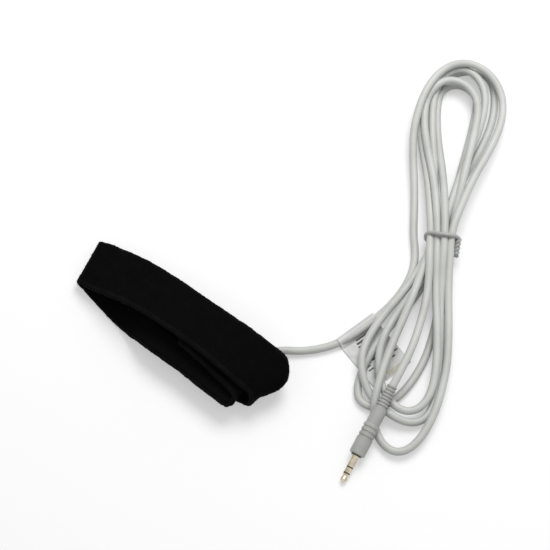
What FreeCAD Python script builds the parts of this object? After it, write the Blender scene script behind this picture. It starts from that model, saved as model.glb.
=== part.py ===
import FreeCAD, Part
import math
import os
import re

import Sketcher
from FreeCAD import Placement, Rotation, Vector

# A two-wire wrist strap for earthing a person at an electronics bench. A soft hook-and-loop band lies
# flattened, pressed on a coaxial snap head. A grey cord runs from the head into a tied hank and ends
# in a three-pole 2.5 mm jack plug. Millimetres, +Z up, +X along the band towards the head's end, +Y
# across the band. The origin is on the bench, under the middle of the band and head.

os.makedirs("parts", exist_ok=True)
doc = FreeCAD.newDocument("WristStrap")

# ---------------------------------------------------------------- driving sizes
SIZES = {
    # the band
    "band_width": 20.0,
    "band_angle": 2.4,  # degrees from +X to the band's end with the stud
    "fabric_ply": 0.9,  # outer pile fabric
    "lining_ply": 0.6,  # inner conductive knit
    "laminate_gap": 0.05,  # between pieces that are sewn, glued or riveted together
    "lining_split": 1.0,  # bare strip between the two linings
    "lining_inset": 0.5,  # lining edge to band edge
    "left_fold_x": -41.9,  # the axes of the band's three folds
    "left_fold_radius": 1.9,
    "inner_fold_x": 32.2,
    "inner_fold_radius": 1.1,
    "outer_fold_x": 39.4,
    "outer_fold_top": 12.7,
    "layer_gap": 0.3,  # air between the band's layers over the snap
    "floor_gap": 0.1,
    "hook_thickness": 0.6,
    "hook_length": 12.0,
    "hook_inset": 1.0,
    "hook_end_gap": 1.5,  # hook patch to the end of the band
    "outer_end_x": -2.5,
    # the snap head
    "head_x": 17.0,
    "head_y": -2.0,
    "head_turn": 43.0,  # degrees from +X to the boot
    "head_radius": 6.5,
    "head_height": 4.6,
    "head_split": 2.3,  # height of the joint between base and cover
    "head_wall": 0.8,
    "neck_length": 14.0,
    "neck_width": 8.5,
    "stud_hole_radius": 3.6,
    "run_clearance": 0.05,  # radial, between parts that turn or slide
    "seat_clearance": 0.1,  # between parts that lie on each other
    # the socket in the head
    "cup_radius": 4.3,
    "cup_wall": 0.35,
    "cup_lip_radius": 3.3,
    "grip_wire_radius": 0.35,
    "grip_opening": 40.0,  # degrees left open in the split ring
    "contact_radius": 1.4,
    "contact_thickness": 0.3,
    "insulator_radius": 2.3,
    "insulator_thickness": 0.3,
    "resistor_radius": 0.85,
    "resistor_length": 3.8,
    "resistor_lead": 1.0,
    "resistor_lead_radius": 0.25,
    "resistor_spread": 3.4,
    "resistor_distance": 8.4,  # from the snap's axis
    # the stud on the band
    "stud_radius": 3.0,
    "stud_wall": 0.5,
    "stud_flange_radius": 5.0,
    "stud_flange": 0.4,
    "barrel_radius": 2.2,
    "barrel_wall": 0.4,
    "pin_radius": 1.2,
    "pin_head_radius": 2.0,
    "pin_head": 0.2,
    "sleeve_flange_radius": 2.4,
    "sleeve_flange": 0.2,
    "disc_radius": 5.0,
    "washer_radius": 2.9,
    "tab_width": 2.4,
    "tab_reach": 7.8,
    "tab_thickness": 0.25,
    "tab_foot": 1.2,
    # the boot at the head
    "boot_flange_radius": 1.4,
    "boot_flange": 0.7,
    "boot_neck_radius": 1.0,
    "boot_radius": 2.2,
    "boot_end_radius": 1.9,
    "boot_length": 8.0,
    "boot_rib": 0.9,
    "boot_rib_depth": 0.3,
    # the cord
    "cord_radius": 1.5,
    "exit_run": 4.0,  # how far the cord keeps on straight out of the boot
    "plug_run": 5.0,  # and out of the plug's relief
    # the hank; it lies along its own Y axis
    "hank_x": 61.3,
    "hank_y": 87.5,
    "hank_turn": 23.7,
    "hank_height": 6.2,
    "crown_centre": 43.0,
    "crown_length": 71.4,
    "crown_width": 37.8,
    "crown_hole_centre": 43.0,
    "crown_hole_length": 41.0,
    "crown_hole_width": 11.2,
    "foot_centre": -53.0,
    "foot_length": 76.0,
    "foot_width": 37.2,
    "foot_offset": -7.3,
    "bundle_width": 12.2,
    "bundle_height": 8.1,
    "bundle_length": 44.0,
    "bundle_corner": 1.4,
    "tie_radius": 0.7,
    "tie_play": 0.1,  # between the tie and the bundle
    "tie_corner": 2.2,
    "tie_tail": 6.0,
    # the flag label
    "label_x": 52.6,
    "label_y": 38.4,
    "label_turn": -22.0,
    "label_width": 15.0,
    "label_length": 24.0,
    "label_thickness": 0.3,
    "label_play": 0.15,  # radial, between the label's wrap and the cord
    # the plug
    "plug_x": 81.2,
    "plug_y": -3.4,
    "plug_turn": -85.0,
    "plug_tilt": 11.5,
    "grip_barrel_radius": 3.0,
    "grip_waist_radius": 2.65,
    "grip_length": 19.0,
    "grip_barrel": 6.7,
    "grip_groove_depth": 0.3,
    "grip_groove": 0.9,
    "grip_edge": 0.4,  # bevels at the grip's front and behind its barrel
    "grip_bore_radius": 1.9,
    "grip_bore": 8.0,
    "relief_length": 9.4,
    "relief_radius": 2.3,
    "relief_end_radius": 1.95,
    "relief_rib": 0.65,
    "relief_rib_depth": 0.35,
    "jack_radius": 1.25,
    "jack_length": 11.0,
    "jack_sleeve": 4.5,
    "jack_ring": 1.9,
    "jack_band": 0.5,  # each black insulating band
    "jack_waist": 0.85,
    "tip_shoulder": 0.3,
    "tip_neck": 0.6,  # from the shoulder to the waist
    "tip_nose": 1.2,
    "tip_rod_radius": 0.4,
    "tube_wall": 0.18,
    "tube_clearance": 0.02,
    "shank_radius": 1.5,
    "shank_length": 3.5,  # how far the sleeve contact reaches back into the grip
    "shank_step": 1.0,  # each inner contact reaches back this much further
    "lug_length": 1.6,
    "lug_thickness": 0.3,
    "collar_radius": 2.0,
    "collar_thickness": 0.5,
}

sheet = doc.addObject("Spreadsheet::Sheet", "Sizes")
for row, (alias, amount) in enumerate(SIZES.items(), start=1):
    sheet.set(f"A{row}", alias)
    sheet.set(f"B{row}", str(amount))
    sheet.setAlias(f"B{row}", alias)
doc.recompute()

subparts = []


def linked(formula):
    """A formula in the sheet's words, as the expression that reads them."""
    return re.sub(r"[a-z_]+", lambda word: f"Sizes.{word[0]}" if word[0] in SIZES else word[0], formula)


def value(formula):
    """What a formula comes to now."""
    return float(sheet.evalExpression(linked(formula)))


def bound(thing, **formulas):
    """Ties a thing's properties to the sheet."""
    for name, formula in formulas.items():
        thing.setExpression(name, linked(formula))
    return thing


def subpart(thing, label, place=None):
    """Gives a finished piece its file name and its place."""
    thing.Label = label
    if place is not None:
        thing.Placement = place
    subparts.append(thing)
    return thing


def feature(label, shape, place=None):
    """A piece whose shape is worked out in this file."""
    thing = doc.addObject("Part::Feature", label.title().replace("_", ""))
    thing.Shape = shape
    return subpart(thing, label, place)


# ---------------------------------------------------------------- ways of making a piece
def profile(body, corners):
    """A closed polygon in the body's XZ plane; each corner is a pair of formulas."""
    sketch = body.newObject("Sketcher::SketchObject", body.Name + "Profile")
    plane = next(item for item in body.Origin.OriginFeatures if item.Role == "XZ_Plane")
    sketch.AttachmentSupport = [(plane, "")]
    sketch.MapMode = "FlatFace"
    spots = [[value(formula) for formula in corner] for corner in corners]
    count = len(corners)
    for index in range(count):
        start = Vector(*spots[index], 0)
        end = Vector(*spots[(index + 1) % count], 0)
        sketch.addGeometry(Part.LineSegment(start, end), False)
    for index in range(count):
        sketch.addConstraint(Sketcher.Constraint("Coincident", index, 2, (index + 1) % count, 1))
    for index, corner in enumerate(corners):
        for kind, axis, formula, spot in zip(("DistanceX", "DistanceY"), (-2, -1), corner, spots[index]):
            if formula == "0":
                sketch.addConstraint(Sketcher.Constraint("PointOnObject", index, 1, axis))
                continue
            number = sketch.addConstraint(Sketcher.Constraint(kind, -1, 1, index, 1, spot))
            sketch.setExpression(f"Constraints[{number}]", linked(formula))
    return sketch


def turned(label, corners, place=None):
    """A piece turned about its own Z axis; each corner is a radius and a height."""
    body = doc.addObject("PartDesign::Body", label.title().replace("_", ""))
    sketch = profile(body, corners)
    turn = body.newObject("PartDesign::Revolution", body.Name + "Turn")
    turn.Profile = sketch
    turn.ReferenceAxis = (sketch, ["V_Axis"])
    turn.Angle = 360.0
    body.Tip = turn
    return subpart(body, label, place)


def cylinder(radius, height, base="0"):
    """A cylinder about Z from the given height up."""
    thing = doc.addObject("Part::Cylinder", "Round")
    bound(thing, Radius=radius, Height=height)
    thing.Placement.Base = Vector(0, 0, value(base))
    return thing


def block(length, width, height, corner):
    """A box from its lowest corner; the corner is three formulas."""
    thing = doc.addObject("Part::Box", "Block")
    bound(thing, Length=length, Width=width, Height=height)
    thing.Placement.Base = Vector(*(value(formula) for formula in corner))
    return thing


def joined(*things):
    union = doc.addObject("Part::MultiFuse", "Union")
    union.Shapes = list(things)
    return union


def less(base, tool):
    cut = doc.addObject("Part::Cut", "Cut")
    cut.Base = base
    cut.Tool = tool
    return cut


# ---------------------------------------------------------------- levels, from the bench up
socket_floor = "head_wall"
cup_top = "head_height - head_wall - seat_clearance"
contact_bottom = "head_wall + insulator_thickness"
stud_bottom = "head_wall + cup_wall + seat_clearance"
stud_seat = "head_height + seat_clearance"
fabric_bottom = f"{stud_seat} + stud_flange + laminate_gap"
fabric_top = f"{fabric_bottom} + fabric_ply"
lining_top = f"{fabric_top} + laminate_gap + lining_ply"
front_tab_bottom = f"{lining_top} + laminate_gap"
sleeve_flange_bottom = f"{front_tab_bottom} + tab_thickness + laminate_gap"
rear_tab_bottom = f"{sleeve_flange_bottom} + sleeve_flange + laminate_gap"
pin_head_bottom = f"{rear_tab_bottom} + tab_thickness + laminate_gap"
pin_head_top = f"{pin_head_bottom} + pin_head"

snap_axis = Placement(Vector(value("head_x"), value("head_y"), 0), Rotation())
head_place = Placement(snap_axis.Base, Rotation(Vector(0, 0, 1), value("head_turn")))
band_angle = value("band_angle")
stud_place = Placement(snap_axis.Base, Rotation(Vector(0, 0, 1), band_angle))
along_neck = Rotation(Vector(0, 0, 1), Vector(1, 0, 0))


# ---------------------------------------------------------------- the band
def band_stations():
    """The band's way from its tucked end round to the end with the stud.

    Each station is a middle point between the plies, the direction across the band and the direction
    out of the loop. A knot is x, y, z, the tilt that lowers the rear edge and the lean that turns the
    band's cross line towards +X, in degrees.
    """
    over_snap = value(f"{pin_head_top} + layer_gap + fabric_ply")
    inner_radius = value("inner_fold_radius")
    flap = over_snap + 2 * inner_radius
    under_snap = value(fabric_top)
    on_bench = value("floor_gap + fabric_ply")
    left_radius = value("left_fold_radius")
    left_x = value("left_fold_x")
    inner_x = value("inner_fold_x")
    outer_x = value("outer_fold_x")
    top_end = value("outer_fold_top")
    outer_radius = (top_end - under_snap) / 2
    knots = [
        (5.0, 2.9, flap + 0.8, 14.0, 3.0),
        (17.0, 1.5, flap + 0.5, 9.0, 5.0),
        (25.0, 0.0, flap + 0.15, 4.0, 3.0),
    ]
    knots += fold(inner_x, flap - inner_radius, inner_radius, 90.0, -90.0, (-1.5, -5.2), (1.0, 0.0), 0.0)
    knots += [
        (25.0, -5.3, over_snap, 0.0, 2.0),
        (11.0, -4.4, over_snap, 0.0, 4.0),
        (-3.0, -3.7, over_snap, 0.0, 4.0),
        (-8.0, -3.0, over_snap - 1.6, 0.0, 4.0),
        (-14.0, -1.8, on_bench + 2.8, 0.0, 4.0),
        (-20.0, -0.5, on_bench + 0.5, 0.0, 3.0),
        (-26.0, 0.7, on_bench, 0.0, 0.0),
        (-34.0, 2.5, on_bench, 0.0, -4.0),
    ]
    knots += fold(left_x, on_bench + left_radius, left_radius, -90.0, -270.0, (4.2, 4.3), (0.0, 2.0), -8.0)
    knots += [
        (-36.0, 4.6, 6.4, 4.0, -8.0),
        (-29.0, 5.0, 9.2, 6.0, -7.0),
        (-22.0, 5.3, 11.2, 9.0, -5.0),
        (-14.0, 5.2, 12.7, 12.0, -3.0),
        (-4.0, 4.8, 13.7, 14.0, 0.0),
        (6.0, 4.3, 14.1, 14.0, 0.0),
        (15.0, 3.8, 14.1, 12.0, 0.0),
        (25.0, 3.0, 13.8, 6.0, 1.0),
        (34.0, 2.1, 13.2, 1.0, 7.0),
    ]
    knots += fold(outer_x, top_end - outer_radius, outer_radius, 90.0, -90.0, (1.9, -0.9), (-1.0, 0.0), 14.0)
    slope = math.tan(math.radians(band_angle))
    stud_x, stud_y = snap_axis.Base.x, snap_axis.Base.y
    for x in (30.0, stud_x, value("outer_end_x")):
        knots.append((x, stud_y + slope * (x - stud_x), under_snap, 0.0, -band_angle))
    return [station(knots, index) for index in range(len(knots))]


def fold(x, z, radius, start, end, sides, tilts, lean):
    """Knots round one fold, from the start angle to the end angle, seen along +Y."""
    steps = 6
    knots = []
    for step in range(steps + 1):
        share = step / steps
        angle = math.radians(start + (end - start) * share)
        side = sides[0] + (sides[1] - sides[0]) * share
        tilt = tilts[0] + (tilts[1] - tilts[0]) * share
        knots.append((x + radius * math.cos(angle), side, z + radius * math.sin(angle), tilt, lean))
    return knots


def station(knots, index):
    """One knot's middle point, cross direction and outward direction."""
    x, y, z, tilt, lean = knots[index]
    before = knots[max(index - 1, 0)]
    after = knots[min(index + 1, len(knots) - 1)]
    tilt, lean = math.radians(tilt), math.radians(lean)
    across = Vector(math.sin(lean), math.cos(lean) * math.cos(tilt), -math.cos(lean) * math.sin(tilt))
    way = Vector(after[0] - before[0], 0, after[2] - before[2])
    out = way.cross(across).normalize()
    return Vector(x, y, z), across, out


def ply(stations, front, rear, bottom, top):
    """A layer of the band between two distances across it and two distances out of it."""
    sections = []
    for middle, across, out in stations:
        corners = [
            middle + across * side + out * level
            for side, level in ((front, bottom), (rear, bottom), (rear, top), (front, top))
        ]
        sections.append(Part.makePolygon(corners + corners[:1]))
    return Part.makeLoft(sections, True, True)


def band():
    stations = band_stations()
    half = value("band_width") / 2
    edge = half - value("lining_inset")
    split = value("lining_split") / 2
    gap = value("laminate_gap")
    lining = gap + value("lining_ply")
    stud_hole = stud_room("barrel_radius", stud_seat)
    disc_hole = stud_room("disc_radius", fabric_top)
    feature("outer_fabric", ply(stations, -half, half, 0, value("fabric_ply")).cut(stud_hole))
    feature("lining_front", ply(stations, -edge, -split, -lining, -gap).cut(disc_hole))
    feature("lining_rear", ply(stations, split, edge, -lining, -gap).cut(disc_hole))
    hook_patch()


def stud_room(radius, bottom):
    """The room that a round part of the stud takes in the band, up to the top of its pin."""
    height = value(f"{pin_head_top} - ({bottom})")
    room = Part.makeCylinder(value(radius) + value("laminate_gap"), height, Vector(0, 0, value(bottom)))
    room.Placement = stud_place
    return room


def hook_patch():
    """The hook side of the fastener, sewn on the end of the band beyond the stud."""
    start = "outer_end_x - head_x + hook_end_gap"
    patch = block(
        "hook_length",
        "band_width - 2 * hook_inset",
        "hook_thickness",
        (start, "hook_inset - band_width / 2", f"{lining_top} + laminate_gap"),
    )
    place = Placement(stud_place)
    place.Base = stud_place.multVec(patch.Placement.Base)
    subpart(patch, "hook_patch", place)


# ---------------------------------------------------------------- the stud on the band
def stud():
    turned("ring_stud", [
        ("stud_radius - stud_wall", stud_bottom),
        ("stud_radius", stud_bottom),
        ("stud_radius", stud_seat),
        ("stud_flange_radius", stud_seat),
        ("stud_flange_radius", f"{stud_seat} + stud_flange"),
        ("barrel_radius", f"{stud_seat} + stud_flange"),
        ("barrel_radius", f"{front_tab_bottom} + tab_thickness"),
        ("barrel_radius - barrel_wall", f"{front_tab_bottom} + tab_thickness"),
        ("barrel_radius - barrel_wall", f"{stud_seat} - stud_wall"),
        ("stud_radius - stud_wall", f"{stud_seat} - stud_wall"),
    ], stud_place)
    turned("stud_insulator", [
        ("pin_radius + laminate_gap", f"{stud_seat} - 2 * stud_wall"),
        ("barrel_radius - barrel_wall - laminate_gap", f"{stud_seat} - 2 * stud_wall"),
        ("barrel_radius - barrel_wall - laminate_gap", sleeve_flange_bottom),
        ("sleeve_flange_radius", sleeve_flange_bottom),
        ("sleeve_flange_radius", f"{sleeve_flange_bottom} + sleeve_flange"),
        ("pin_radius + laminate_gap", f"{sleeve_flange_bottom} + sleeve_flange"),
    ], stud_place)
    turned("centre_pin", [
        ("0", f"{contact_bottom} + contact_thickness + seat_clearance"),
        ("pin_radius", f"{contact_bottom} + contact_thickness + seat_clearance"),
        ("pin_radius", pin_head_bottom),
        ("pin_head_radius", pin_head_bottom),
        ("pin_head_radius", pin_head_top),
        ("0", pin_head_top),
    ], stud_place)
    turned("stud_backing_disc", [
        ("barrel_radius + laminate_gap", f"{fabric_top} + laminate_gap"),
        ("disc_radius", f"{fabric_top} + laminate_gap"),
        ("disc_radius", lining_top),
        ("barrel_radius + laminate_gap", lining_top),
    ], stud_place)
    contact_tab("lining_tab_front", -1, front_tab_bottom, "washer_radius", "barrel_radius + laminate_gap")
    contact_tab("lining_tab_rear", 1, rear_tab_bottom, "pin_head_radius", "pin_radius + laminate_gap")


def contact_tab(label, side, bottom, washer, hole):
    """A ring terminal whose strip reaches out over one lining and rests a foot on it."""
    start = "0" if side > 0 else "-tab_reach"
    foot = "tab_reach - tab_foot" if side > 0 else "-tab_reach"
    strip = block("tab_width", "tab_reach", "tab_thickness", ("-tab_width / 2", start, bottom))
    ring = cylinder(washer, "tab_thickness", bottom)
    pieces = [strip, ring]
    if value(bottom) > value(front_tab_bottom):
        height = f"{bottom} - ({front_tab_bottom}) + tab_thickness"
        pieces.append(block("tab_width", "tab_foot", height, ("-tab_width / 2", foot, front_tab_bottom)))
    subpart(less(joined(*pieces), cylinder(hole, "3 * tab_thickness", f"{bottom} - tab_thickness")),
            label, stud_place)


# ---------------------------------------------------------------- the snap head
def head_outline(height, base, inset="0"):
    """The head's plan, a round with a neck, between two heights and a distance in from its edge."""
    disc = cylinder(f"head_radius - {inset}", height, base)
    neck = block(f"neck_length - {inset}", f"neck_width - 2 * ({inset})", height,
                 ("0", f"{inset} - neck_width / 2", base))
    return joined(disc, neck)


def boot_hole():
    hole = cylinder("boot_neck_radius + laminate_gap", "3 * head_wall")
    hole.Placement = Placement(Vector(value("neck_length - 2 * head_wall"), 0, value("head_split")), along_neck)
    return hole


def head():
    shell = less(head_outline("head_split", "0"), head_outline("head_split", "head_wall", "head_wall"))
    subpart(less(shell, boot_hole()), "head_base", head_place)
    lid = less(head_outline("head_height - head_split", "head_split"),
               head_outline("head_height - head_split - head_wall", "head_split", "head_wall"))
    lid = less(lid, cylinder("stud_hole_radius", "2 * head_height"))
    subpart(less(lid, boot_hole()), "head_cover", head_place)
    turned("socket_cup", [
        ("insulator_radius + seat_clearance", socket_floor),
        ("cup_radius", socket_floor),
        ("cup_radius", cup_top),
        ("cup_lip_radius", cup_top),
        ("cup_lip_radius", f"{cup_top} - cup_wall"),
        ("cup_radius - cup_wall", f"{cup_top} - cup_wall"),
        ("cup_radius - cup_wall", f"{socket_floor} + cup_wall"),
        ("insulator_radius + seat_clearance", f"{socket_floor} + cup_wall"),
    ], head_place)
    turned("contact_insulator", [
        ("0", socket_floor),
        ("insulator_radius", socket_floor),
        ("insulator_radius", contact_bottom),
        ("0", contact_bottom),
    ], head_place)
    turned("centre_contact", [
        ("0", contact_bottom),
        ("contact_radius", contact_bottom),
        ("contact_radius", f"{contact_bottom} + contact_thickness"),
        ("0", f"{contact_bottom} + contact_thickness"),
    ], head_place)
    spring_ring()
    for label, side in (("resistor_front", -1), ("resistor_rear", 1)):
        resistor(label, side)
    boot()


def spring_ring():
    """A split wire ring under the cup's lip; it grips the stud."""
    ring = doc.addObject("Part::Torus", "SpringRing")
    bound(ring, Radius1="stud_radius + run_clearance + grip_wire_radius", Radius2="grip_wire_radius",
          Angle3="360 - grip_opening")
    height = value(f"{cup_top} - cup_wall - seat_clearance - grip_wire_radius")
    subpart(ring, "spring_ring", Placement(snap_axis.Base + Vector(0, 0, height), Rotation()))


def resistor(label, side):
    half = "resistor_length / 2"
    end = f"{half} + resistor_lead"
    height = value("head_wall + seat_clearance + resistor_radius")
    spot = Vector(value("resistor_distance"), side * value("resistor_spread") / 2, height)
    turned(label, [
        ("0", f"-({end})"),
        ("resistor_lead_radius", f"-({end})"),
        ("resistor_lead_radius", f"-({half})"),
        ("resistor_radius", f"-({half})"),
        ("resistor_radius", half),
        ("resistor_lead_radius", half),
        ("resistor_lead_radius", end),
        ("0", end),
    ], head_place.multiply(Placement(spot, along_neck)))


def ribbed(start_radius, end_radius, length, rib, depth, sign=""):
    """Outline corners of a tapered relief with grooves cut round it."""
    pairs = int(value(f"{length} / {rib}")) // 2
    corners = []
    for pair in range(pairs):
        for share, sunk in ((0, "0"), (1, "0"), (1, depth), (2, depth)):
            place = f"({2 * pair + share}) * {length} / {2 * pairs + 1}"
            taper = f"({start_radius} - {end_radius}) * {place} / {length}"
            corners.append((f"{start_radius} - {taper} - {sunk}", f"{sign}({place})"))
    last = f"{2 * pairs} * {length} / {2 * pairs + 1}"
    corners.append((f"{end_radius}", f"{sign}({last})"))
    corners.append((f"{end_radius}", f"{sign}({length})"))
    return corners


def boot():
    """The soft boot that keeps the cord from kinking at the head, about its own Z axis."""
    place = head_place.multiply(Placement(Vector(value("neck_length"), 0, value("head_split")), along_neck))
    turned("head_boot", [
        ("0", "-head_wall - seat_clearance - boot_flange"),
        ("boot_flange_radius", "-head_wall - seat_clearance - boot_flange"),
        ("boot_flange_radius", "-head_wall - seat_clearance"),
        ("boot_neck_radius", "-head_wall - seat_clearance"),
        ("boot_neck_radius", "0"),
    ] + ribbed("boot_radius", "boot_end_radius", "boot_length", "boot_rib", "boot_rib_depth") + [
        ("0", "boot_length"),
    ], place)


# ---------------------------------------------------------------- the cord
def route(points):
    """Straight runs joined by tangent arcs, each as large as its two runs allow."""
    edges = []
    radii = []
    start = points[0]
    for before, corner, after in zip(points, points[1:], points[2:]):
        back = (before - corner).normalize()
        onward = (after - corner).normalize()
        shorter = min(before.distanceToPoint(corner), after.distanceToPoint(corner))
        trim = 0.45 * shorter
        turn = math.pi - back.getAngle(onward)
        radius = trim / math.tan(turn / 2)
        middle = (back + onward).normalize()
        sagitta = radius / math.cos(turn / 2) - radius
        first = corner + back * trim
        last = corner + onward * trim
        edges.append(Part.LineSegment(start, first).toShape())
        edges.append(Part.Arc(first, corner + middle * sagitta, last).toShape())
        radii.append(radius)
        start = last
    edges.append(Part.LineSegment(start, points[-1]).toShape())
    return Part.Wire(edges), radii


def tube(label, points, radius):
    """A round tube along a route, with its volume compared with its section times its length."""
    path, radii = route(points)
    section = Part.Wire(Part.Circle(points[0], points[1] - points[0], radius).toShape())
    solid = path.makePipeShell([section], True, False)
    due = math.pi * radius ** 2 * path.Length
    print(f"{label}: length {path.Length:.1f}, volume {solid.Volume / due:.4f} of section times length,",
          "radii", [round(item, 1) for item in radii])
    return feature(label, solid)


def cord_lead():
    """The cord from the boot to the hank, lying on the bench."""
    exit_point = head_place.multVec(Vector(value("neck_length + boot_length"), 0, value("head_split")))
    straight = head_place.multVec(Vector(value("neck_length + boot_length + exit_run"), 0, value("head_split")))
    points = [
        exit_point,
        straight,
        Vector(41.1, 19.7, 1.6),
        Vector(45.7, 25.7, 1.6),
        Vector(49.9, 32.6, 2.0),
        Vector(53.4, 39.9, 2.0),
        Vector(56.4, 46.8, 1.8),
    ]
    tube("cord_lead", points, value("cord_radius"))


def cord_tail(plug_place):
    """The cord from the plug's relief, over the hank's foot."""
    back = value("grip_length + relief_length")
    exit_point = plug_place.multVec(Vector(0, 0, -back))
    points = [
        exit_point,
        plug_place.multVec(Vector(0, 0, -back - value("plug_run"))),
        Vector(77.6, 34.9, 9.9),
        Vector(76.4, 40.6, 8.6),
        Vector(74.9, 46.3, 6.2),
        Vector(73.4, 51.6, 3.2),
    ]
    tube("cord_tail", points, value("cord_radius"))


# ---------------------------------------------------------------- the hank
def oval(width, length, height, centre_x, centre_y, base=0.0):
    """An upright oval cylinder."""
    disc = doc.addObject("Part::Ellipse", "Oval")
    bound(disc, MajorRadius=f"({length}) / 2", MinorRadius=f"({width}) / 2")
    disc.Placement = Placement(Vector(value(centre_x), value(centre_y), base), Rotation(Vector(0, 0, 1), 90))
    solid = doc.addObject("Part::Extrusion", "OvalSolid")
    solid.Base = disc
    solid.Dir = Vector(0, 0, 1)
    solid.Solid = True
    bound(solid, LengthFwd=height)
    return solid


def hank(plug_place):
    """The folded cord as one solid: an open crown, the tied bundle and a flat foot."""
    lift = value("2 * tie_radius + tie_play + laminate_gap")
    place = Placement(Vector(value("hank_x"), value("hank_y"), 0), Rotation(Vector(0, 0, 1), value("hank_turn")))
    crown = less(
        oval("crown_width", "crown_length", "hank_height", "0", "crown_centre"),
        oval("crown_hole_width", "crown_hole_length", "2 * hank_height", "0", "crown_hole_centre", -1.0),
    )
    foot = oval("foot_width", "foot_length", "hank_height", "foot_offset", "foot_centre")
    bundle = block("bundle_width", "bundle_length", "bundle_height",
                   ("-bundle_width / 2", "-bundle_length / 2", f"{lift}"))
    doc.recompute()
    rounded = doc.addObject("Part::Fillet", "RoundedBundle")
    rounded.Base = bundle
    corner = value("bundle_corner")
    rounded.Edges = [
        (number, corner, corner)
        for number, edge in enumerate(bundle.Shape.Edges, start=1)
        if abs(edge.tangentAt(edge.FirstParameter).y) > 0.9
    ]
    whole = joined(crown, foot, rounded)
    doc.recompute()
    shape = whole.Shape.copy()
    shape.Placement = place
    room = value("seat_clearance")
    radius = value("grip_barrel_radius") + room
    length = value("grip_length + relief_length + head_wall")
    plug_room = Part.makeCylinder(radius, length, Vector(0, 0, -length))
    plug_room.Placement = plug_place
    label_room = label_flag(room)
    shape = shape.cut(plug_room).cut(label_room)
    feature("cord_hank", shape.Solids[0] if len(shape.Solids) == 1 else shape)
    tie(place)


def tie(place):
    """A plastic-covered wire tie round the bundle, its ends twisted together at one side."""
    wire = value("tie_radius")
    gap = value("tie_play") + wire
    half = value("bundle_width") / 2 + gap
    low = wire + value("laminate_gap")
    high = low + gap + value("bundle_height") + gap
    corner = value("tie_corner")
    points = [Vector(half, 0, low + corner), Vector(half, 0, high - corner), Vector(half - corner, 0, high),
              Vector(corner - half, 0, high), Vector(-half, 0, high - corner), Vector(-half, 0, low + corner),
              Vector(corner - half, 0, low), Vector(half - corner, 0, low)]
    edges = []
    bend = corner * (1 - math.sqrt(0.5))
    bends = [Vector(half - bend, 0, high - bend), Vector(bend - half, 0, high - bend),
             Vector(bend - half, 0, low + bend), Vector(half - bend, 0, low + bend)]
    for index, middle in enumerate(bends):
        start, first, last = points[2 * index], points[2 * index + 1], points[(2 * index + 2) % 8]
        edges.append(Part.LineSegment(start, first).toShape())
        edges.append(Part.Arc(first, middle, last).toShape())
    section = Part.Wire(Part.Circle(points[0], Vector(0, 0, 1), wire).toShape())
    loop = Part.Wire(edges).makePipeShell([section], True, False)
    stub = Part.makeCylinder(wire, value("tie_tail"), Vector(half, 0, low + corner), Vector(1, -0.5, 0))
    feature("hank_tie", loop.fuse(stub).removeSplitter(), place)


# ---------------------------------------------------------------- the label
label_place = Placement(Vector(value("label_x"), value("label_y"), 0),
                        Rotation(Vector(0, 0, 1), value("label_turn")))


def label_flag(room=0.0):
    """The label's flag, grown by some room."""
    length = value("label_length") + room
    width = value("label_width") + 2 * room
    thickness = value("label_thickness")
    flag = Part.makeBox(length, width, thickness + room, Vector(0, -width / 2, value("seat_clearance") / 2))
    flag.Placement = label_place
    return flag


def label():
    """A label wrapped round the cord and stuck to itself as a flag."""
    inner = value("cord_radius + label_play")
    outer = inner + value("label_thickness") / 2
    width = value("label_width")
    start = Vector(0, -width / 2, outer + value("seat_clearance") / 2)
    along = Vector(0, 1, 0)
    sleeve = Part.makeCylinder(outer, width, start, along).cut(Part.makeCylinder(inner, width, start, along))
    sleeve.Placement = label_place
    feature("flag_label", label_flag().fuse(sleeve).removeSplitter())


# ---------------------------------------------------------------- the plug
def plug_placement():
    """The plug's own Z axis points out of its tip; its origin is where the jack leaves the grip."""
    turn = math.radians(value("plug_turn"))
    tilt = math.radians(value("plug_tilt"))
    way = Vector(math.cos(turn) * math.cos(tilt), math.sin(turn) * math.cos(tilt), -math.sin(tilt))
    height = value("jack_length + collar_thickness") * math.sin(tilt) + value("jack_radius")
    return Placement(Vector(value("plug_x"), value("plug_y"), height), Rotation(Vector(0, 0, 1), way))


def plug(place):
    grooves = []
    for ring in range(3):
        start = f"(grip_barrel + {2 * ring} * grip_groove)"
        end = f"(grip_barrel + {2 * ring + 1} * grip_groove)"
        grooves += [
            ("grip_barrel_radius", f"-{start}"),
            ("grip_barrel_radius - grip_groove_depth", f"-{start}"),
            ("grip_barrel_radius - grip_groove_depth", f"-{end}"),
            ("grip_barrel_radius", f"-{end}"),
        ]
    grip_end = "(grip_barrel + 6 * grip_groove)"
    turned("plug_grip", [
        ("shank_radius + laminate_gap", "0"),
        ("grip_barrel_radius - grip_edge", "0"),
        ("grip_barrel_radius", "-grip_edge"),
    ] + grooves + [
        ("grip_barrel_radius", f"-{grip_end}"),
        ("grip_waist_radius", f"-{grip_end} - grip_edge"),
        ("grip_waist_radius", "-grip_length"),
        ("0", "-grip_length"),
        ("0", "-grip_bore - head_wall"),
        ("grip_bore_radius", "-grip_bore - head_wall"),
        ("grip_bore_radius", "-head_wall"),
        ("shank_radius + laminate_gap", "-head_wall"),
    ], place)
    relief_place = place.multiply(Placement(Vector(0, 0, value("-grip_length")), Rotation()))
    outline = ribbed("relief_radius", "relief_end_radius", "relief_length", "relief_rib", "relief_rib_depth", "-")
    turned("plug_relief", [("0", "0")] + outline + [("0", "-relief_length")], relief_place)
    turned("plug_collar", [
        ("shank_radius + laminate_gap", "laminate_gap"),
        ("collar_radius", "laminate_gap"),
        ("collar_radius", "collar_thickness"),
        ("shank_radius + laminate_gap", "collar_thickness"),
    ], place)
    jack(place.multiply(Placement(Vector(0, 0, value("collar_thickness")), Rotation())))


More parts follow.
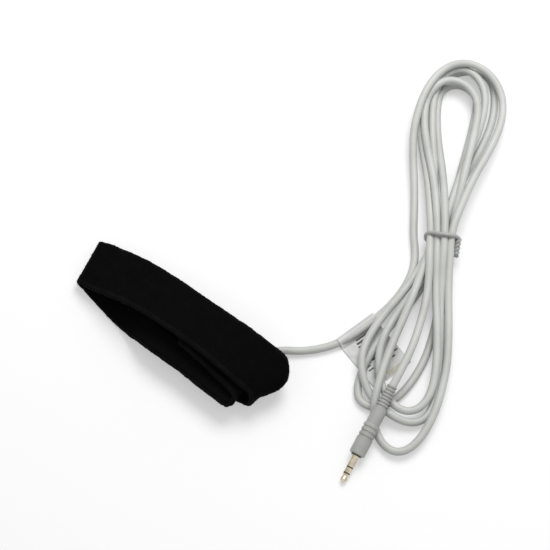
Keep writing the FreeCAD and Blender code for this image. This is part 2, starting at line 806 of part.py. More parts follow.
def jack(place):
    """Three contacts one inside the other, with insulating bands between them."""
    rod = "tip_rod_radius"
    front_inner = f"{rod} + tube_clearance"
    front_outer = f"{front_inner} + tube_wall"
    ring_inner = f"{front_outer} + tube_clearance"
    ring_outer = f"{ring_inner} + tube_wall"
    rear_inner = f"{ring_outer} + tube_clearance"
    rear_outer = f"{rear_inner} + tube_wall"
    sleeve_inner = f"{rear_outer} + tube_clearance"
    ring_start = "jack_sleeve + jack_band"
    ring_end = f"{ring_start} + jack_ring"
    tip_start = f"{ring_end} + jack_band"
    back = "collar_thickness + shank_length"
    turned("sleeve_contact", [
        (sleeve_inner, f"-({back})"),
        ("shank_radius", f"-({back})"),
        ("shank_radius", "0"),
        ("jack_radius", "0"),
        ("jack_radius", "jack_sleeve"),
        (sleeve_inner, "jack_sleeve"),
    ], place)
    turned("insulator_ring_rear", [
        (rear_inner, f"-({back})"),
        (rear_outer, f"-({back})"),
        (rear_outer, "jack_sleeve"),
        ("jack_radius", "jack_sleeve"),
        ("jack_radius", ring_start),
        (rear_inner, ring_start),
    ], place)
    turned("ring_contact", [
        (ring_inner, f"-({back} + shank_step)"),
        (ring_outer, f"-({back} + shank_step)"),
        (ring_outer, ring_start),
        ("jack_radius", ring_start),
        ("jack_radius", ring_end),
        (ring_inner, ring_end),
    ], place)
    turned("insulator_ring_front", [
        (front_inner, f"-({back} + shank_step)"),
        (front_outer, f"-({back} + shank_step)"),
        (front_outer, ring_end),
        ("jack_radius", ring_end),
        ("jack_radius", tip_start),
        (front_inner, tip_start),
    ], place)
    turned("tip_contact", [
        ("0", f"-({back} + 2 * shank_step)"),
        (rod, f"-({back} + 2 * shank_step)"),
        (rod, tip_start),
        ("jack_radius", tip_start),
        ("jack_radius", f"{tip_start} + tip_shoulder"),
        ("jack_waist", f"{tip_start} + tip_shoulder + tip_neck"),
        ("jack_radius", "jack_length - tip_nose - tip_shoulder"),
        ("jack_radius", "jack_length - tip_nose"),
        ("tip_rod_radius", "jack_length"),
        ("0", "jack_length"),
    ], place)
    lugs(place, back)


def lugs(place, back):
    """Solder lugs on the back of the three contacts, for the cord's conductors."""
    starts = {
        "sleeve_lug": (f"({back})", "shank_radius - lug_thickness"),
        "ring_lug": (f"({back} + shank_step)", "-jack_radius"),
    }
    for label, (start, height) in starts.items():
        lug = block("lug_length", "2 * tip_rod_radius", "lug_thickness",
                    ("0", "-tip_rod_radius", height))
        turn = Placement(Vector(0, 0, -value(start)), Rotation(Vector(1, 0, 0), Vector(0, 0, -1)))
        subpart(lug, label, place.multiply(turn).multiply(Placement(lug.Placement.Base, Rotation())))


# ---------------------------------------------------------------- the whole strap
band()
stud()
head()
cord_lead()
plug_place = plug_placement()
plug(plug_place)
cord_tail(plug_place)
hank(plug_place)
label()
doc.recompute()

for item in doc.Objects:
    if {"Invalid", "Error"} & set(item.State):
        raise RuntimeError(f"{item.Label} failed: {item.State}")
for item in subparts:
    if item.Shape.isNull() or not item.Shape.isValid():
        raise RuntimeError(f"{item.Label} has no valid shape")
for item in subparts:
    item.Shape.exportStep(f"parts/{item.Label}.step")
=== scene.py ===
import math

import bmesh
import bpy
import numpy as np
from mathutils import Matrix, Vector, noise


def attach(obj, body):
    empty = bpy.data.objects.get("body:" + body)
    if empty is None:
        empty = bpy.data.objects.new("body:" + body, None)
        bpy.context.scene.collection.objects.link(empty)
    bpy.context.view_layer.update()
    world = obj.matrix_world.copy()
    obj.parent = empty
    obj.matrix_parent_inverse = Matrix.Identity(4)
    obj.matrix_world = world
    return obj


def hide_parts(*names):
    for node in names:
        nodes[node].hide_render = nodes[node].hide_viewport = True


# A two-wire wrist strap for earthing a person at an electronics bench: a soft pile band folded flat
# on its snap head, and a grey cord that ends in a small jack plug. Metres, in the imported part's frame.
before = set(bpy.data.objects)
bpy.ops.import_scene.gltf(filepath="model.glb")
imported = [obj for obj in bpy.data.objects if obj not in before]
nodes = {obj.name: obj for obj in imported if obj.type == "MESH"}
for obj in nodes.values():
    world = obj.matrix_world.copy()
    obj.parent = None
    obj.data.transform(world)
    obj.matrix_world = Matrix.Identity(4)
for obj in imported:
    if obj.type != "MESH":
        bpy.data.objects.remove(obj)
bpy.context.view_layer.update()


# ---------------------------------------------------------------- the snap head
# A two-part black ABS moulding that clips on the band's stud. It is moulded with a fine spark-eroded
# texture, and its base and cover are welded together over the socket and the resistors.
def new_finish(name, colour, roughness, metallic=0.0):
    """A material with its shader and the coordinates that its details are laid out in."""
    material = bpy.data.materials.new(name)
    material.use_nodes = True
    tree = material.node_tree
    shader = tree.nodes["Principled BSDF"]
    shader.inputs["Base Color"].default_value = (*colour, 1.0)
    shader.inputs["Roughness"].default_value = roughness
    shader.inputs["Metallic"].default_value = metallic
    places = tree.nodes.new("ShaderNodeTexCoord")
    return material, tree, shader, places.outputs["Object"]


def grain(tree, places, scale, detail=4.0, stretch=(1.0, 1.0, 1.0)):
    """Fractal grain, with so many lumps to a metre."""
    laid = tree.nodes.new("ShaderNodeMapping")
    laid.inputs["Scale"].default_value = stretch
    tree.links.new(places, laid.inputs["Vector"])
    lumps = tree.nodes.new("ShaderNodeTexNoise")
    lumps.inputs["Scale"].default_value = scale
    lumps.inputs["Detail"].default_value = detail
    tree.links.new(laid.outputs["Vector"], lumps.inputs["Vector"])
    return lumps.outputs["Fac"]


def shades(tree, source, stops):
    """A ramp from the source's values to colours; each stop is a place and a colour."""
    ramp = tree.nodes.new("ShaderNodeValToRGB")
    while len(ramp.color_ramp.elements) < len(stops):
        ramp.color_ramp.elements.new(0.5)
    for element, (place, colour) in zip(ramp.color_ramp.elements, stops):
        element.position = place
        element.color = (*colour, 1.0)
    tree.links.new(source, ramp.inputs["Fac"])
    return ramp.outputs["Color"]


def between(tree, source, low, high):
    """The source's values, spread from low to high."""
    spread = tree.nodes.new("ShaderNodeMapRange")
    spread.inputs["To Min"].default_value = low
    spread.inputs["To Max"].default_value = high
    tree.links.new(source, spread.inputs["Value"])
    return spread.outputs["Result"]


def raised(tree, shader, source, height, strength=1.0):
    """Relief on the surface, of a height in metres."""
    bump = tree.nodes.new("ShaderNodeBump")
    bump.inputs["Strength"].default_value = strength
    bump.inputs["Distance"].default_value = height
    tree.links.new(source, bump.inputs["Height"])
    tree.links.new(bump.outputs["Normal"], shader.inputs["Normal"])


def moulded_plastic(name, dark, light, roughness, texture):
    """Injection-moulded plastic with an eroded texture and faint flow marks."""
    material, tree, shader, places = new_finish(name, light, roughness)
    flow = grain(tree, places, 160.0, 3.0, (1.0, 1.0, 0.4))
    tree.links.new(shades(tree, flow, ((0.3, dark), (0.7, light))), shader.inputs["Base Color"])
    speckle = grain(tree, places, texture, 2.0)
    dullness = between(tree, speckle, roughness - 0.08, roughness + 0.1)
    tree.links.new(dullness, shader.inputs["Roughness"])
    raised(tree, shader, speckle, 0.00003, 0.5)
    return material


def wear(node, material):
    """Gives a carried-over CAD piece its finish."""
    nodes[node].data.materials.clear()
    nodes[node].data.materials.append(material)


black_abs = moulded_plastic("black_abs", (0.012, 0.012, 0.013), (0.019, 0.019, 0.02),
                            roughness=0.5, texture=5200.0)
wear("head_base", black_abs)
wear("head_cover", black_abs)


# ---------------------------------------------------------------- the socket in the head
# A pressed cup with a split spring ring that grips the stud, and a centre contact on an insulator.
# The cup is nickel-plated brass and the ring is spring steel, both with turning marks and dull patches.
def plated_metal(name, colour, tarnish, roughness, lines=(1.0, 1.0, 14.0)):
    """Plated metal with fine turning lines, dulled in patches."""
    material, tree, shader, places = new_finish(name, colour, roughness, 1.0)
    patches = grain(tree, places, 420.0, 5.0)
    tree.links.new(shades(tree, patches, ((0.35, tarnish), (0.62, colour))), shader.inputs["Base Color"])
    marks = grain(tree, places, 2600.0, 2.0, lines)
    dullness = between(tree, marks, roughness - 0.08, roughness + 0.14)
    tree.links.new(dullness, shader.inputs["Roughness"])
    raised(tree, shader, marks, 0.000012, 0.6)
    return material


nickel = plated_metal("nickel_plate", (0.66, 0.64, 0.6), (0.42, 0.4, 0.37), 0.24)
spring_wire = plated_metal("spring_wire", (0.55, 0.55, 0.56), (0.36, 0.36, 0.37), 0.3)
black_nylon = moulded_plastic("black_nylon", (0.01, 0.01, 0.01), (0.02, 0.02, 0.02),
                              roughness=0.36, texture=5200.0)
for node in ("socket_cup", "centre_contact", "ring_stud", "centre_pin",
             "lining_tab_front", "lining_tab_rear"):
    wear(node, nickel)
for node in ("contact_insulator", "stud_insulator", "stud_backing_disc"):
    wear(node, black_nylon)
wear("spring_ring", spring_wire)


# ---------------------------------------------------------------- the resistors in the head
# Two one-megohm safety resistors, one for each wire. Each is a pale blue lacquered body with thin
# dark rings and tinned leads, soldered between its contact and its wire.
def resistor_paint():
    """Pale blue lacquer with thin dark brown rings."""
    material, tree, shader, places = new_finish("resistor_paint", (0.5, 0.62, 0.7), 0.38)
    split = tree.nodes.new("ShaderNodeTexWave")
    split.wave_type = "BANDS"
    split.bands_direction = "DIAGONAL"
    split.inputs["Scale"].default_value = 330.0
    split.inputs["Distortion"].default_value = 0.4
    tree.links.new(places, split.inputs["Vector"])
    rings = ((0.0, (0.46, 0.58, 0.66)), (0.82, (0.52, 0.64, 0.72)), (0.9, (0.16, 0.06, 0.03)))
    tree.links.new(shades(tree, split.outputs["Fac"], rings), shader.inputs["Base Color"])
    raised(tree, shader, grain(tree, places, 2400.0), 0.00002, 0.4)
    return material


dipped = resistor_paint()
wear("resistor_front", dipped)
wear("resistor_rear", dipped)


# ---------------------------------------------------------------- the band
# A soft tube-edged band of brushed black pile, laminated and sewn over two conductive linings. It is
# folded flat on the head: over at its left end, back to the right, and in under itself as a flap.
BAND_WIDTH = 0.020
RIM_FROM = BAND_WIDTH / 2 - 0.0013
PLY = 0.0009
LINING = 0.0006
SEAM_GAP = 0.00005
BAND_ANGLE = 2.4
ON_BENCH = 0.0010
UNDER_SNAP = 0.00605
OVER_SNAP = 0.0090
LEFT_RADIUS = 0.0019
INNER_RADIUS = 0.0011
FLAP = OVER_SNAP + 2 * INNER_RADIUS
TOP_END = 0.0127
OUTER_RADIUS = (TOP_END - UNDER_SNAP) / 2


def fold(x, z, radius, start, end, sides, tilts, lean):
    """Knots round one fold of the band, from the start angle to the end angle, seen along +Y."""
    steps = 6
    knots = []
    for step in range(steps + 1):
        share = step / steps
        angle = math.radians(start + (end - start) * share)
        side = sides[0] + (sides[1] - sides[0]) * share
        tilt = tilts[0] + (tilts[1] - tilts[0]) * share
        knots.append((x + radius * math.cos(angle), side, z + radius * math.sin(angle), tilt, lean))
    return knots


# each knot is a middle point between the plies, the tilt that lowers the rear edge and the lean of
# the line across the band, in degrees
band_knots = [
    (0.0050, 0.0029, FLAP + 0.0008, 14, 3),
    (0.0170, 0.0015, FLAP + 0.0005, 9, 5),
    (0.0250, 0.0000, FLAP + 0.00015, 4, 3),
    *fold(0.0322, FLAP - INNER_RADIUS, INNER_RADIUS, 90, -90, (-0.0017, -0.0060), (1, 0), 0),
    (0.0250, -0.0058, OVER_SNAP, 0, 2),
    (0.0110, -0.0044, OVER_SNAP, 0, 4),
    (-0.0030, -0.0037, OVER_SNAP, 0, 4),
    (-0.0080, -0.0030, OVER_SNAP - 0.0016, 0, 4),
    (-0.0140, -0.0018, ON_BENCH + 0.0028, 0, 4),
    (-0.0200, -0.0005, ON_BENCH + 0.0005, 0, 3),
    (-0.0260, 0.0007, ON_BENCH, 0, 0),
    (-0.0340, 0.0025, ON_BENCH, 0, -4),
    *fold(-0.0424, ON_BENCH + LEFT_RADIUS, LEFT_RADIUS, -90, -270, (0.0042, 0.0043), (0, 2), -8),
    (-0.0360, 0.0046, 0.0064, 4, -8),
    (-0.0290, 0.0050, 0.0092, 6, -7),
    (-0.0220, 0.0053, 0.0112, 9, -5),
    (-0.0140, 0.0052, 0.0127, 12, -3),
    (-0.0040, 0.0048, 0.0137, 14, 0),
    (0.0060, 0.0043, 0.0141, 14, 0),
    (0.0150, 0.0038, 0.0141, 12, 0),
    (0.0250, 0.0030, 0.0138, 6, 1),
    (0.0340, 0.0021, 0.0132, 1, 7),
    *fold(0.0394, TOP_END - OUTER_RADIUS, OUTER_RADIUS, 90, -90, (0.0019, -0.0009), (-1, 0), 14),
]
for x in (0.0300, 0.0170, -0.0025):
    rise = math.tan(math.radians(BAND_ANGLE)) * (x - 0.0170)
    band_knots.append((x, -0.0020 + rise, UNDER_SNAP, 0, -BAND_ANGLE))


def eased(knots, spacing):
    """Stations close together on the smooth line through the knots."""
    rows = np.array(knots, float)
    runs = np.linalg.norm(np.diff(rows[:, :3], axis=0), axis=1)
    reach = np.concatenate([[0.0], np.cumsum(runs)])
    slopes = np.zeros_like(rows)
    slopes[1:-1] = (rows[2:] - rows[:-2]) / (reach[2:] - reach[:-2])[:, None]
    slopes[0] = (rows[1] - rows[0]) / runs[0]
    slopes[-1] = (rows[-1] - rows[-2]) / runs[-1]
    stations = []
    for place in np.linspace(0.0, reach[-1], int(reach[-1] / spacing) + 1):
        run = min(int(np.searchsorted(reach, place, "right")) - 1, len(runs) - 1)
        span = runs[run]
        t = (place - reach[run]) / span
        stations.append(
            (2 * t**3 - 3 * t**2 + 1) * rows[run] + (t**3 - 2 * t**2 + t) * span * slopes[run]
            + (3 * t**2 - 2 * t**3) * rows[run + 1] + (t**3 - t**2) * span * slopes[run + 1]
        )
    return np.array(stations), reach[-1]


band_stations, BAND_LENGTH = eased(band_knots, spacing=0.0004)
band_tilt, band_lean = np.radians(band_stations[:, 3]), np.radians(band_stations[:, 4])
band_across = np.stack([np.sin(band_lean), np.cos(band_lean) * np.cos(band_tilt),
                        -np.cos(band_lean) * np.sin(band_tilt)], axis=1)
band_way = np.gradient(band_stations[:, :3], axis=0)
band_way[:, 1] = 0.0
band_out = np.cross(band_way, band_across)
band_out /= np.linalg.norm(band_out, axis=1)[:, None]


def put(name, data):
    """A piece with this mesh, curve, light or camera, put in the scene."""
    piece = bpy.data.objects.new(name, data)
    bpy.context.scene.collection.objects.link(piece)
    return piece


def skinned(name, rows, materials, finishes):
    """A closed smooth piece: a skin over rows of points round it, with a finish for each face."""
    count, around = len(rows), len(rows[0])
    faces = []
    for row in range(count - 1):
        for spot in range(around):
            after = (spot + 1) % around
            a, b = row * around + spot, row * around + after
            faces.append((a, b, b + around, a + around))
    faces.append(tuple(reversed(range(around))))
    faces.append(tuple(range((count - 1) * around, count * around)))
    mesh = bpy.data.meshes.new(name)
    mesh.from_pydata(np.reshape(rows, (-1, 3)).tolist(), [], faces)
    mesh.polygons.foreach_set("use_smooth", [True] * len(mesh.polygons))
    for material in materials:
        mesh.materials.append(material)
    mesh.polygons.foreach_set("material_index", finishes + [0, 0])
    sides = bmesh.new()
    sides.from_mesh(mesh)
    bmesh.ops.recalc_face_normals(sides, faces=sides.faces)
    sides.to_mesh(mesh)
    sides.free()
    return put(name, mesh)


# the soft right fold swells most a little behind the band's middle, and draws back at both edges
SWELL_MIDDLE = 0.0025
SWELL_REACH = 0.0054
SWELL_LEAST = -1.1


def banded(name, outline, pull, material, rim_highlight=None):
    """A strip of the band: an outline, in distances across it and out of it, carried along it.

    pull says how far each station draws its front and rear edges in, and how far it swells along X.
    The finish for the rolled rims, if one is given, is a lighter pile: a painted highlight where they
    catch the light.
    """
    outline = np.array(outline, float)
    swell = np.maximum(1.0 - ((outline[:, 0] - SWELL_MIDDLE) / SWELL_REACH) ** 2, SWELL_LEAST)
    rows = []
    stations = zip(band_stations[:, :3], band_across, band_out, pull)
    for middle, across, out, (front, rear, bow) in stations:
        shrink = 1.0 - np.where(outline[:, 0] < 0, front, rear) / (BAND_WIDTH / 2)
        row = middle + np.outer(outline[:, 0] * shrink, across) + np.outer(outline[:, 1], out)
        row[:, 0] += bow * swell
        rows.append(row)
    finishes = np.zeros(len(outline), int)
    # the rolled rims take the lighter finish, their painted highlight
    if rim_highlight:
        finishes[np.abs(outline[:, 0]) > RIM_FROM] = 1
    strip = skinned(name, rows, [material, rim_highlight] if rim_highlight else [material],
                    finishes.tolist() * (len(rows) - 1))
    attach(strip, "strap")
    return strip


OFF_BENCH = 0.00002
TUFTS, WAVES = 1500.0, 260.0


def lumpy(piece, fine, coarse):
    """Moves the surface in and out as the pile lies: fine tufts on coarse waves, so many to a metre."""
    mesh = piece.data
    mesh.update()
    spots = np.array([vertex.co for vertex in mesh.vertices])
    normals = np.array([vertex.normal for vertex in mesh.vertices])
    moves = []
    for spot in spots:
        tuft, wave = noise.noise(Vector(spot) * TUFTS), noise.noise(Vector(spot) * WAVES)
        moves.append(fine * tuft + coarse * wave)
    spots += normals * np.array(moves)[:, None]
    spots[:, 2] = np.maximum(spots[:, 2], OFF_BENCH)
    mesh.vertices.foreach_set("co", spots.ravel())
    mesh.update()


def pile_outline():
    """The pile ply with its rolled edges, which turn down over the linings' edges."""
    half = BAND_WIDTH / 2 + 0.0002
    bead = 0.00092
    middle = 0.0001
    face = PLY + 0.00006
    lip, lip_edge, lip_root = 0.0005, 0.0003, 0.0004
    flat_from = 0.0022
    points = [(side, face) for side in np.linspace(bead - half, half - bead, 48)]
    for angle in range(75, -91, -15):
        turn = math.radians(angle)
        points.append((half - bead + bead * math.cos(turn), middle + bead * math.sin(turn)))
    points += [(half - bead - lip_edge, -lip), (half - bead - lip_root, 0.0)]
    points += [(side, 0.0) for side in np.linspace(half - flat_from, flat_from - half, 9)]
    points += [(bead + lip_root - half, 0.0), (bead + lip_edge - half, -lip)]
    for angle in range(270, 89, -15):
        turn = math.radians(angle)
        points.append((bead - half + bead * math.cos(turn), middle + bead * math.sin(turn)))
    return points[:-1]


def edge_pulls():
    """How far the edges draw in and the fold swells, where soft folds and cut ends are rounded."""
    along = np.linspace(0.0, BAND_LENGTH, len(band_stations))
    from_end = np.minimum(along, BAND_LENGTH - along)
    corner, corner_reach = 0.0011, 0.0012
    ends = corner * np.clip(1.0 - from_end / corner_reach, 0.0, 1.0) ** 2
    pulls = np.stack([ends, ends, 0.0 * ends], axis=1)
    left, right = np.argmin(band_stations[:, 0]), np.argmax(band_stations[:, 0])
    for crest, front, rear, bow, reach in ((left, 0.0006, 0.0010, 0.0, 0.0040),
                                           (right, -0.0008, 0.0022, 0.0013, 0.0055)):
        near = np.exp(-((along - along[crest]) / reach) ** 2)
        pulls += np.outer(near, (front, rear, bow))
    return pulls


def pile_fabric(name, dark, middle, light, sheen):
    """Brushed pile: near black, a little lighter where the tufts catch the light."""
    material, tree, shader, places = new_finish(name, middle, 0.95)
    tufts = grain(tree, places, 1900.0, 3.0)
    brushed = grain(tree, places, 210.0, 4.0)
    tone = tree.nodes.new("ShaderNodeMath")
    tone.operation = "MULTIPLY"
    tree.links.new(tufts, tone.inputs[0])
    tree.links.new(brushed, tone.inputs[1])
    colour = shades(tree, tone.outputs["Value"], ((0.1, dark), (0.28, middle), (0.48, light)))
    tree.links.new(colour, shader.inputs["Base Color"])
    shader.inputs["Sheen Weight"].default_value = sheen
    shader.inputs["Sheen Roughness"].default_value = 0.35
    shader.inputs["Sheen Tint"].default_value = (0.5, 0.5, 0.52, 1.0)
    shader.inputs["Specular IOR Level"].default_value = 0.04
    raised(tree, shader, tufts, 0.00025, 0.9)
    return material


black_pile = pile_fabric("pile_fabric", (0.0014, 0.0015, 0.0015), (0.002, 0.0021, 0.0021),
                         (0.0034, 0.0034, 0.0034), 0.035)
# the rims get a lighter copy of the pile: a painted highlight where they catch the light
rim_highlight_pile = pile_fabric("rim_highlight_pile", (0.0026, 0.0027, 0.0027), (0.0042, 0.0043, 0.0043),
                          (0.0066, 0.0067, 0.0067), 0.05)
edge_pull = edge_pulls()
band_fabric = banded("band_fabric", pile_outline(), edge_pull, black_pile, rim_highlight_pile)
lumpy(band_fabric, fine=0.00016, coarse=0.00016)
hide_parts("outer_fabric")


# ---------------------------------------------------------------- the band's loose pile
# The band's outer face and rolled edges are brushed, so short fibres stand up all over them and blur
# its outline. Each fibre is a thin three-sided point, leaning a little off the surface.
def fibres(name, count, shortest, longest, thickness):
    """Loose fibres with their roots on the band's fabric, more where it has more surface."""
    chance = np.random.default_rng(7)
    scatter, bend = 0.00008, 0.55
    corners = (0.0, 2.1, 4.2)
    faces = [face for face in band_fabric.data.polygons if len(face.vertices) == 4 and face.area > 0]
    shares = np.array([face.area for face in faces])
    chosen = chance.choice(len(faces), count, p=shares / shares.sum())
    spots, sides = [], []
    for index in chosen:
        face = faces[index]
        root = np.array(face.center) + chance.normal(0.0, scatter, 3)
        lean = np.array(face.normal) + chance.normal(0.0, bend, 3)
        lean /= np.linalg.norm(lean)
        flat = np.cross(lean, chance.normal(0.0, 1.0, 3))
        flat /= np.linalg.norm(flat)
        third = np.cross(lean, flat)
        tip = root + lean * chance.uniform(shortest, longest)
        if min(root[2], tip[2]) < 2 * thickness:
            continue
        first = len(spots)
        for turn in corners:
            spots.append(root + thickness * (math.cos(turn) * flat + math.sin(turn) * third))
        spots.append(tip)
        sides += [(first, first + 1, first + 3), (first + 1, first + 2, first + 3),
                  (first + 2, first, first + 3), (first + 2, first + 1, first)]
    mesh = bpy.data.meshes.new(name)
    mesh.from_pydata([tuple(spot) for spot in spots], [], sides)
    mesh.materials.append(black_pile)
    loose = put(name, mesh)
    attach(loose, "strap")
    return loose


band_pile = fibres("band_pile", count=9000, shortest=0.0003, longest=0.0008, thickness=0.00004)


# ---------------------------------------------------------------- the band's linings
# Two strips of knit with conductive thread, one for each wire, sewn inside the band side by side with
# a bare strip between them. The knit is black with dull silver threads along it.
LINING_NEAR, LINING_FAR = 0.0005, 0.0089


def conductive_knit():
    """Black knit, with every so often a dull silver thread along the band."""
    material, tree, shader, places = new_finish("conductive_knit", (0.003, 0.003, 0.0032), 0.85)
    ribs = tree.nodes.new("ShaderNodeTexWave")
    ribs.bands_direction = "Y"
    ribs.inputs["Scale"].default_value = 620.0
    ribs.inputs["Distortion"].default_value = 0.6
    ribs.inputs["Detail"].default_value = 2.0
    tree.links.new(places, ribs.inputs["Vector"])
    loops = grain(tree, places, 2300.0, 2.0)
    threads = ((0.0, (0.0014, 0.0014, 0.0015)), (0.8, (0.0023, 0.0023, 0.0024)),
               (0.97, (0.0055, 0.0055, 0.0058)))
    tree.links.new(shades(tree, ribs.outputs["Fac"], threads), shader.inputs["Base Color"])
    tree.links.new(between(tree, loops, 0.65, 0.95), shader.inputs["Roughness"])
    shader.inputs["Specular IOR Level"].default_value = 0.03
    raised(tree, shader, loops, 0.00012, 0.8)
    return material


def lining_outline(near, far):
    """A knit strip between two distances across the band, ribbed, with its edges turned."""
    top, bottom = -SEAM_GAP, -SEAM_GAP - LINING
    soft = 0.00015
    turned = 0.00004
    rise = (top - bottom) / 2
    upper_rib, upper_ribs = 0.00004, 2000.0
    lower_rib, lower_ribs = 0.00005, 3000.0
    points = []
    for side in np.linspace(near + soft, far - soft, 12):
        points.append((side, top - upper_rib * abs(math.sin(side * upper_ribs))))
    points += [(far, top - soft), (far + turned, top - rise), (far, bottom + soft)]
    for side in np.linspace(far - soft, near + soft, 18):
        points.append((side, bottom - lower_rib * abs(math.sin(side * lower_ribs))))
    points += [(near, bottom + soft), (near - turned, top - rise), (near, top - soft)]
    return points


knit = conductive_knit()
lining_front = banded("band_lining_front", lining_outline(-LINING_FAR, -LINING_NEAR), edge_pull, knit)
lining_rear = banded("band_lining_rear", lining_outline(LINING_NEAR, LINING_FAR), edge_pull, knit)
for lining, node in ((lining_front, "lining_front"), (lining_rear, "lining_rear")):
    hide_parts(node)


# ---------------------------------------------------------------- the hook patch
# The hook side of the fastener, sewn at the end of the band beyond the stud. It is woven nylon tape
# with rows of small stiff hooks.
def hook_tape():
    """Black nylon with the tips of its hooks a little lighter."""
    material, tree, shader, places = new_finish("hook_tape", (0.01, 0.01, 0.01), 0.55)
    hooks = tree.nodes.new("ShaderNodeTexVoronoi")
    hooks.inputs["Scale"].default_value = 1300.0
    tree.links.new(places, hooks.inputs["Vector"])
    blacks = ((0.1, (0.03, 0.03, 0.03)), (0.5, (0.006, 0.006, 0.006)))
    tree.links.new(shades(tree, hooks.outputs["Distance"], blacks), shader.inputs["Base Color"])
    raised(tree, shader, hooks.outputs["Distance"], 0.0003, 0.9)
    return material


wear("hook_patch", hook_tape())


# ---------------------------------------------------------------- the cord
# One length of soft grey PVC flex, 3 mm thick, from the head to the plug. It lies along the bench to a
# hank of nine half turns, folded to and fro through a wire tie, and leaves it over the top.
CORD = 0.0030
BOOT_END = (0.03309, 0.01300, 0.0023)
lead_points = [
    BOOT_END,
    (0.03602, 0.01573, 0.0023),
    (0.0414, 0.0190, 0.0016),
    (0.0463, 0.0231, 0.0016),
    (0.0507, 0.0280, 0.0017),
    (0.0544, 0.0346, 0.0019),
    (0.0569, 0.0416, 0.0019),
    (0.0591, 0.0492, 0.0016),
    (0.0605, 0.0575, 0.0016),
    (0.0604, 0.0657, 0.0016),
    (0.0587, 0.0727, 0.0016),
    (0.0554, 0.0783, 0.0016),
]
tail_points = [
    (0.0606, 0.0795, 0.0060),
    (0.0650, 0.0722, 0.0064),
    (0.0694, 0.0640, 0.0070),
    (0.0722, 0.0570, 0.0076),
    (0.0741, 0.0510, 0.0082),
    (0.0758, 0.0450, 0.0088),
    (0.0771, 0.0390, 0.0094),
    (0.0779, 0.0335, 0.0099),
    (0.0784, 0.0292, 0.0102),
    (0.07879, 0.02433, 0.00921),
]
HANK = (0.0613, 0.0875)
HANK_TURN = math.radians(23.7)
# half turns of the hank, up and down by turns: its reach from the tie; for its first and last side,
# where the side is widest across the hank and at what share of the reach; its crown; its layer
half_turns = [
    (0.0746, (-0.0170, 0.60), (0.0165, 0.735), 0.0002, 4),
    (-0.0877, (0.0094, 0.62), (-0.0150, 0.80), -0.0036, 3),
    (0.0727, (-0.0112, 0.80), (0.0092, 0.80), -0.0012, 2),
    (-0.0718, (0.0030, 0.50), (-0.0221, 0.875), -0.0146, 0),
    (0.0662, (0.0068, 0.80), (-0.0141, 0.80), -0.0040, 3),
    (-0.0721, (0.0056, 0.80), (-0.0163, 0.70), -0.0035, 2),
    (0.0668, (0.0060, 0.88), (-0.0094, 0.88), -0.0021, 1),
    (-0.0758, (0.0071, 0.80), (-0.0226, 0.71), -0.0025, 1),
    (0.0742, (0.0131, 0.76), (-0.0155, 0.72), 0.0034, 0),
]
# the places at the tie that the half turns run between: across the hank and high, in three rows
TIE_LOW, TIE_MIDDLE, TIE_HIGH = 0.0028, 0.0053, 0.0078
tie_places = [
    (-0.0107, 0.0016),
    (0.0034, TIE_HIGH - 0.0010),
    (-0.0028, TIE_MIDDLE),
    (0.0000, TIE_MIDDLE),
    (0.0035, TIE_MIDDLE),
    (-0.0017, TIE_HIGH - 0.0010),
    (0.0017, TIE_LOW),
    (0.0009, TIE_HIGH),
    (-0.0013, TIE_LOW),
    (-0.0042, TIE_HIGH),
]
# how far a leg has gone out, and how far across it has spread by then
leg_shares = ((0.19, 0.15), (0.44, 0.40), (0.67, 0.74), (0.86, 0.945))
# the height of the cord's middle where it lies on the bench
BED = CORD / 2 + 0.0001


def in_hank(across, along, height):
    """A place in the hank, as a point in the part's frame."""
    turn, lift = math.cos(HANK_TURN), math.sin(HANK_TURN)
    return (HANK[0] + across * turn - along * lift, HANK[1] + across * lift + along * turn, height)


def hank_loop(reach, first, last, crown, layer, start, end):
    """The points of one half turn: out along one side, round its crown and back along the other."""
    level = BED + CORD * layer
    legs = []
    for (side, widest), place in ((first, start), (last, end)):
        leg = []
        for share, spread in leg_shares:
            leg.append(in_hank(place[0] + (side - place[0]) * spread, reach * widest * share,
                               place[1] + (level - place[1]) * spread))
        legs.append(leg)
    middle, half = (first[0] + last[0]) / 2, (first[0] - last[0]) / 2
    bend = []
    steps = 8
    for step in range(steps + 1):
        angle = math.pi * step / steps
        bulge = math.sin(angle)
        widest = first[1] if 2 * step < steps else last[1]
        across = middle + half * math.cos(angle) + (crown - middle) * bulge ** 2
        bend.append(in_hank(across, reach * (widest + (1 - widest) * bulge), level))
    return legs[0] + bend + legs[1][::-1]


cord_points = list(lead_points)
for turn, start, end in zip(half_turns, tie_places, tie_places[1:]):
    cord_points.append(in_hank(start[0], 0.0, start[1]))
    cord_points += hank_loop(*turn, start, end)
cord_points.append(in_hank(tie_places[-1][0], 0.0, tie_places[-1][1]))
cord_points += tail_points


# the plug lies across the foot of the hank, so the turns under it stay below its outline, which is
# given by shares of its length and its radius there
PLUG_FRONT = np.array((0.0812, -0.0034, 0.00354))
PLUG_BACK = np.array((0.07879, 0.02433, 0.00921))
plug_outline = ((0.0, 0.0030), (0.43, 0.0030), (0.44, 0.00265), (0.67, 0.00265), (0.68, 0.0023),
                (1.0, 0.002))
# where the tie's wire runs under the hank, how far it lifts the strands on it, how soon that eases off
# along them, and how far out from the tie's middle it goes
WIRE_ALONG = -0.0019
WIRE_LIFT = 0.0013
WIRE_EASE = 0.004
WIRE_REACH = 0.009
# where each run of the cord between two of its points is looked at
run_parts = (0.0, 0.25, 0.5, 0.75)


def meetings(plan, heights):
    """The places where one run of the cord lies over another, and the height that keeps them apart."""
    same_run = 0.010
    in_touch = 0.8 * CORD
    firmness = 0.97
    along = np.concatenate([[0.0], np.cumsum(np.linalg.norm(np.diff(plan, axis=0), axis=1))])
    gaps = np.linalg.norm(plan[:, None] - plan[None], axis=2)
    meeting = np.argwhere((gaps < in_touch) & (along[None] - along[:, None] > same_run))
    one, other = meeting[:, 0], meeting[:, 1]
    needed = firmness * np.sqrt(CORD ** 2 - gaps[one, other] ** 2)
    over = np.where(heights[one] > heights[other], one, other)
    under = np.where(heights[one] > heights[other], other, one)
    return over, under, needed


